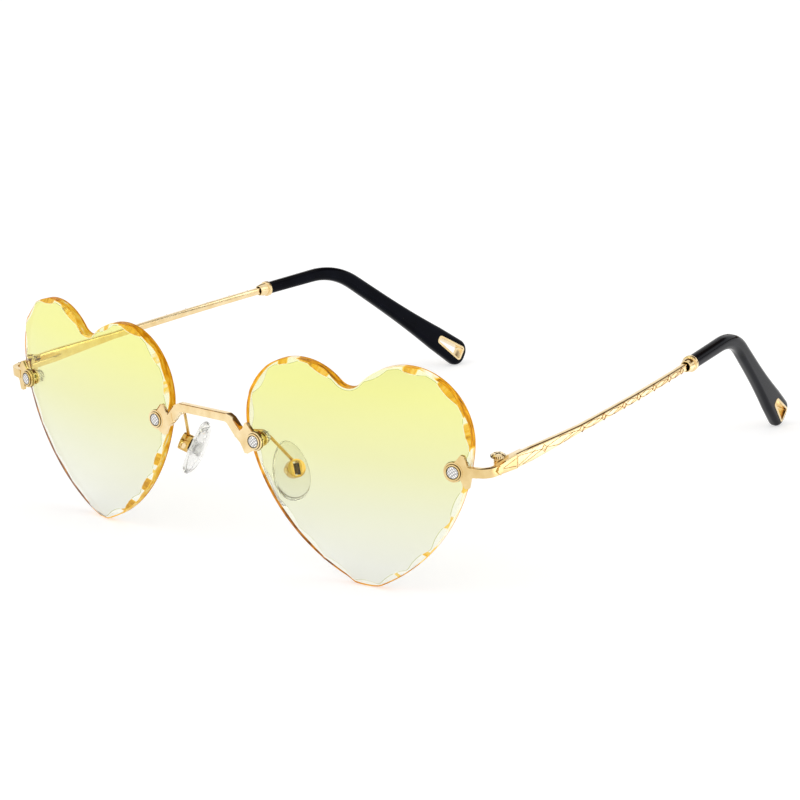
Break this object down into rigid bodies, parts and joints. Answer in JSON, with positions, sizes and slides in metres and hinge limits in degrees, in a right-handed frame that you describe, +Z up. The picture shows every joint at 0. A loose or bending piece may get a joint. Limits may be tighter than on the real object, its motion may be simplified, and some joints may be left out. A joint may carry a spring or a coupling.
{
  "type": "sunglasses",
  "caption": "Rimless sunglasses with heart shaped tinted lenses cut in facets along the edge, a gold metal bridge and folding temples with black tips.",
  "frame": {"origin": "middle of the base of the bounding box, on the floor that the lens tips and the temple tips stand on", "axes": "+X towards the wearer's left, +Y back along the temples, +Z up"},
  "size_m": [0.1406, 0.152, 0.0491],
  "materials": {
    "gold_metal": "polished gold plating",
    "silver_screw": "satin nickel plating",
    "black_tip": "gloss, polished",
    "clear_pad": "clear soft plastic",
    "clear_sleeve": "clear plastic",
    "yellow_lens": "polished, tinted yellow and fading to clear at the bottom"
  },
  "bodies": {
    "front": {"left_lens": "yellow_lens", "right_lens": "yellow_lens", "bridge": "gold_metal", "left_endpiece": "gold_metal", "right_endpiece": "gold_metal", "lens_screws": "silver_screw", "lens_sleeves": "clear_sleeve", "lens_washers": "gold_metal", "lens_nuts": "silver_screw", "left_pad_arm": "gold_metal", "right_pad_arm": "gold_metal", "left_pad_box": "gold_metal", "right_pad_box": "gold_metal", "pad_screws": "gold_metal", "left_front_hinge": "gold_metal", "right_front_hinge": "gold_metal", "hinge_screws": "gold_metal"},
    "left_temple": {"left_temple": "gold_metal", "left_temple_hinge": "gold_metal", "left_ferrule": "gold_metal", "left_temple_tip": "black_tip", "left_tip_eyelet": "gold_metal"},
    "right_temple": {"right_temple": "gold_metal", "right_temple_hinge": "gold_metal", "right_ferrule": "gold_metal", "right_temple_tip": "black_tip", "right_tip_eyelet": "gold_metal"},
    "left_nose_pad": {"left_nose_pad": "clear_pad", "left_pad_insert": "gold_metal"},
    "right_nose_pad": {"right_nose_pad": "clear_pad", "right_pad_insert": "gold_metal"}
  },
  "joints": [
    {"name": "left_temple_fold", "type": "hinge", "parent": "front", "child": "left_temple", "pos_m": [0.0676, -0.06085, 0.0293], "axis": [0.0006, -0.0305, 0.9995], "range_deg": [0, 84]},
    {"name": "right_temple_fold", "type": "hinge", "parent": "front", "child": "right_temple", "pos_m": [-0.0676, -0.06085, 0.0293], "axis": [0.0006, 0.0305, -0.9995], "range_deg": [0, 75]},
    {"name": "left_pad_tilt", "type": "hinge", "parent": "front", "child": "left_nose_pad", "pos_m": [0.01629, -0.06457, 0.02037], "axis": [0.4226, 0.9063, 0], "range_deg": [-10, 10]},
    {"name": "right_pad_tilt", "type": "hinge", "parent": "front", "child": "right_nose_pad", "pos_m": [-0.01629, -0.06457, 0.02037], "axis": [0.4226, -0.9063, 0], "range_deg": [-10, 10]}
  ]
}
